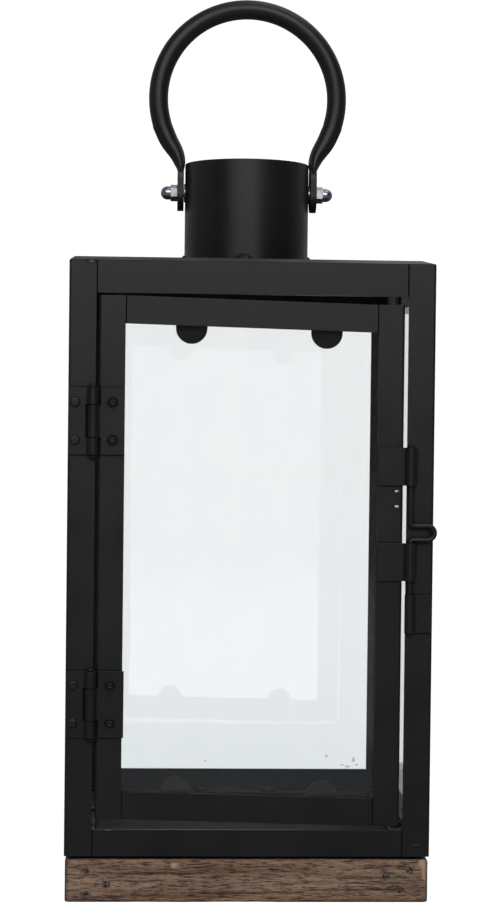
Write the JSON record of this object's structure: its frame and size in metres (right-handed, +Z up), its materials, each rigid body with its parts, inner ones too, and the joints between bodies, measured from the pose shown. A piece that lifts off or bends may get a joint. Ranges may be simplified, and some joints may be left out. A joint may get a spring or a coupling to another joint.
{
  "type": "candle lantern",
  "caption": "Square black steel candle lantern on a nailed wooden base, with glazed sides, a hinged front door, a wire slide bolt, an open chimney and a swinging bail handle.",
  "frame": {"origin": "on the surface that the lantern stands on, under the middle of its square base", "axes": "+Z up, -Y out of the door, +X to the latch side as seen from the front"},
  "size_m": [0.1663, 0.1697, 0.4215],
  "materials": {
    "black_paint": "satin black paint over welded steel",
    "old_wood": "weathered brown reclaimed wood, unvarnished",
    "glass": "clear float glass, slightly dusty",
    "zinc": "bright zinc plating",
    "nail_steel": "dull darkened steel"
  },
  "bodies": {
    "frame": {"back_pane": "glass", "back_pane_clips": "black_paint", "base_back_board": "old_wood", "base_front_board": "old_wood", "base_left_board": "old_wood", "base_nails": "nail_steel", "base_right_board": "old_wood", "base_screws": "black_paint", "bottom_rail_back": "black_paint", "bottom_rail_front": "black_paint", "bottom_rail_left": "black_paint", "bottom_rail_right": "black_paint", "chimney": "black_paint", "chimney_weld": "black_paint", "corner_post_back_left": "black_paint", "corner_post_back_right": "black_paint", "corner_post_front_left": "black_paint", "corner_post_front_right": "black_paint", "floor_plate": "black_paint", "latch_keeper": "black_paint", "left_acorn_nut": "zinc", "left_handle_bolt": "zinc", "left_handle_washer": "zinc", "left_pane": "glass", "left_pane_clips": "black_paint", "lower_hinge_pin": "black_paint", "lower_hinge_post_leaf": "black_paint", "post_hinge_rivets": "black_paint", "right_acorn_nut": "zinc", "right_handle_bolt": "zinc", "right_handle_washer": "zinc", "right_pane": "glass", "right_pane_clips": "black_paint", "roof_plate": "black_paint", "top_rail_back": "black_paint", "top_rail_front": "black_paint", "top_rail_left": "black_paint", "top_rail_right": "black_paint", "upper_hinge_pin": "black_paint", "upper_hinge_post_leaf": "black_paint"},
    "door": {"door_bottom_rail": "black_paint", "door_hinge_rivets": "black_paint", "door_hinge_stile": "black_paint", "door_latch_stile": "black_paint", "door_pane": "glass", "door_pane_clips": "black_paint", "door_top_rail": "black_paint", "latch_lower_guide": "black_paint", "latch_upper_guide": "black_paint", "lower_hinge_door_leaf": "black_paint", "upper_hinge_door_leaf": "black_paint"},
    "latch_bolt": {"latch_bolt": "black_paint"},
    "handle": {"handle": "black_paint"}
  },
  "joints": [
    {"name": "door_swing", "type": "hinge", "parent": "frame", "child": "door", "pos_m": [-0.0712, -0.0849, 0.153], "axis": [0, 0, -1], "range_deg": [0, 175]},
    {"name": "bolt_slide", "type": "slide", "parent": "door", "child": "latch_bolt", "axis": [0, 0, 1], "range_m": [0, 0.0164]},
    {"name": "handle_swing", "type": "hinge", "parent": "frame", "child": "handle", "pos_m": [0, 0, 0.3274], "axis": [1, 0, 0], "range_deg": [-110, 110]}
  ]
}
